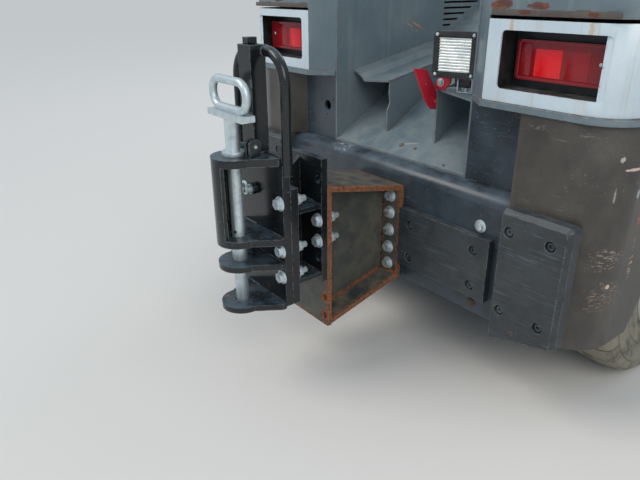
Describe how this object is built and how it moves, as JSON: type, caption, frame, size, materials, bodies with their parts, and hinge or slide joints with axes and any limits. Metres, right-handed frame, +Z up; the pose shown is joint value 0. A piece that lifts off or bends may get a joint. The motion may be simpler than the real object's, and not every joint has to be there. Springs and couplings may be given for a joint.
{
  "type": "industrial tow tractor",
  "caption": "Cabbed electric tow tractor with a battery deck, a sighting chute and a stepped drawbar jaw with a lift-out pin at the back.",
  "frame": {"origin": "on the floor, at the middle of the outline seen from above, drawbar jaw included", "axes": "+X to the right seen from behind, +Y forward, +Z up"},
  "size_m": [1.93, 3.55, 2.0999],
  "materials": {
    "slate_grey": "satin",
    "side_dark": "gloss",
    "frame_black": "satin",
    "panel_white": "gloss",
    "plastic_black": "matte",
    "lens_red": "gloss",
    "battery_case": "matte",
    "rusty_steel": "rough",
    "hitch_black": "gloss",
    "zinc": "satin",
    "pad_black": "satin",
    "lever_red": "satin",
    "axle_iron": "matte",
    "window_glass": "clear",
    "lamp_clear": "clear",
    "seat_cloth": "matte",
    "plastic_dark": "matte",
    "rim_paint": "satin",
    "tyre_rubber": "matte"
  },
  "bodies": {
    "machine": {"chassis": "frame_black", "rear_beam": "frame_black", "rear_side_left": "side_dark", "rear_side_right": "side_dark", "rear_deck": "slate_grey", "hitch_chute": "slate_grey", "lamp_panels": "panel_white", "lamp_housings": "plastic_black", "rear_lamps": "lens_red", "battery": "battery_case", "hitch_bracket": "rusty_steel", "hitch_spacer": "hitch_black", "hitch_jaw": "hitch_black", "hitch_bolts": "zinc", "bump_pads": "pad_black", "work_lamp": "plastic_black", "release_lever": "lever_red", "rear_axle": "axle_iron", "front_axle": "axle_iron", "cab_shell": "slate_grey", "cab_roof": "panel_white", "cab_glass": "window_glass", "front_body": "slate_grey", "front_bumper": "frame_black", "headlamps": "lamp_clear", "seat": "seat_cloth", "dash": "plastic_dark", "mirrors": "plastic_black"},
    "lid": {"battery_lid": "slate_grey"},
    "pin": {"hitch_pin": "zinc"},
    "steering": {"steering_wheel": "plastic_dark"},
    "knuckle_left": {"knuckle_left": "axle_iron"},
    "door_left": {"door_left": "slate_grey", "door_glass_left": "window_glass"},
    "wheel_rear_left": {"wheel_rear_left": "rim_paint", "tyre_rear_left": "tyre_rubber"},
    "wheel_front_left": {"wheel_front_left": "rim_paint", "tyre_front_left": "tyre_rubber"},
    "knuckle_right": {"knuckle_right": "axle_iron"},
    "door_right": {"door_right": "slate_grey", "door_glass_right": "window_glass"},
    "wheel_rear_right": {"wheel_rear_right": "rim_paint", "tyre_rear_right": "tyre_rubber"},
    "wheel_front_right": {"wheel_front_right": "rim_paint", "tyre_front_right": "tyre_rubber"}
  },
  "joints": [
    {"name": "wheel_rear_left_spin", "type": "hinge", "parent": "machine", "child": "wheel_rear_left", "pos_m": [-0.6535, -0.649, 0.33], "axis": [1, 0, 0], "continuous": true},
    {"name": "wheel_front_left_spin", "type": "hinge", "parent": "knuckle_left", "child": "wheel_front_left", "pos_m": [-0.6535, 1.251, 0.33], "axis": [1, 0, 0], "continuous": true},
    {"name": "steer_left", "type": "hinge", "parent": "machine", "child": "knuckle_left", "pos_m": [-0.49, 1.251, 0.33], "axis": [0, 0, 1], "range_deg": [-35, 35]},
    {"name": "door_left_swing", "type": "hinge", "parent": "machine", "child": "door_left", "pos_m": [-0.754, 0.8375, 0.73], "axis": [0, 0, -1], "range_deg": [0, 75]},
    {"name": "wheel_rear_right_spin", "type": "hinge", "parent": "machine", "child": "wheel_rear_right", "pos_m": [0.6535, -0.649, 0.33], "axis": [1, 0, 0], "continuous": true},
    {"name": "wheel_front_right_spin", "type": "hinge", "parent": "knuckle_right", "child": "wheel_front_right", "pos_m": [0.6535, 1.251, 0.33], "axis": [1, 0, 0], "continuous": true},
    {"name": "steer_right", "type": "hinge", "parent": "machine", "child": "knuckle_right", "pos_m": [0.49, 1.251, 0.33], "axis": [0, 0, 1], "range_deg": [-35, 35]},
    {"name": "door_right_swing", "type": "hinge", "parent": "machine", "child": "door_right", "pos_m": [0.754, 0.8375, 0.73], "axis": [0, 0, 1], "range_deg": [0, 75]},
    {"name": "lid_swing", "type": "hinge", "parent": "machine", "child": "lid", "pos_m": [0, 0.218, 1.143], "axis": [-1, 0, 0], "range_deg": [0, 80]},
    {"name": "pin_lift", "type": "slide", "parent": "machine", "child": "pin", "axis": [0, 0, 1], "range_m": [0, 0.45]},
    {"name": "steering_turn", "type": "hinge", "parent": "machine", "child": "steering", "pos_m": [0, 0.955, 1.24], "axis": [0, -0.5736, 0.8191], "range_deg": [-540, 540]}
  ],
  "couplings": [
    {"joint": "steer_right", "follows": "steer_left", "ratio": 1},
    {"joint": "steering_turn", "follows": "steer_left", "ratio": 15}
  ]
}
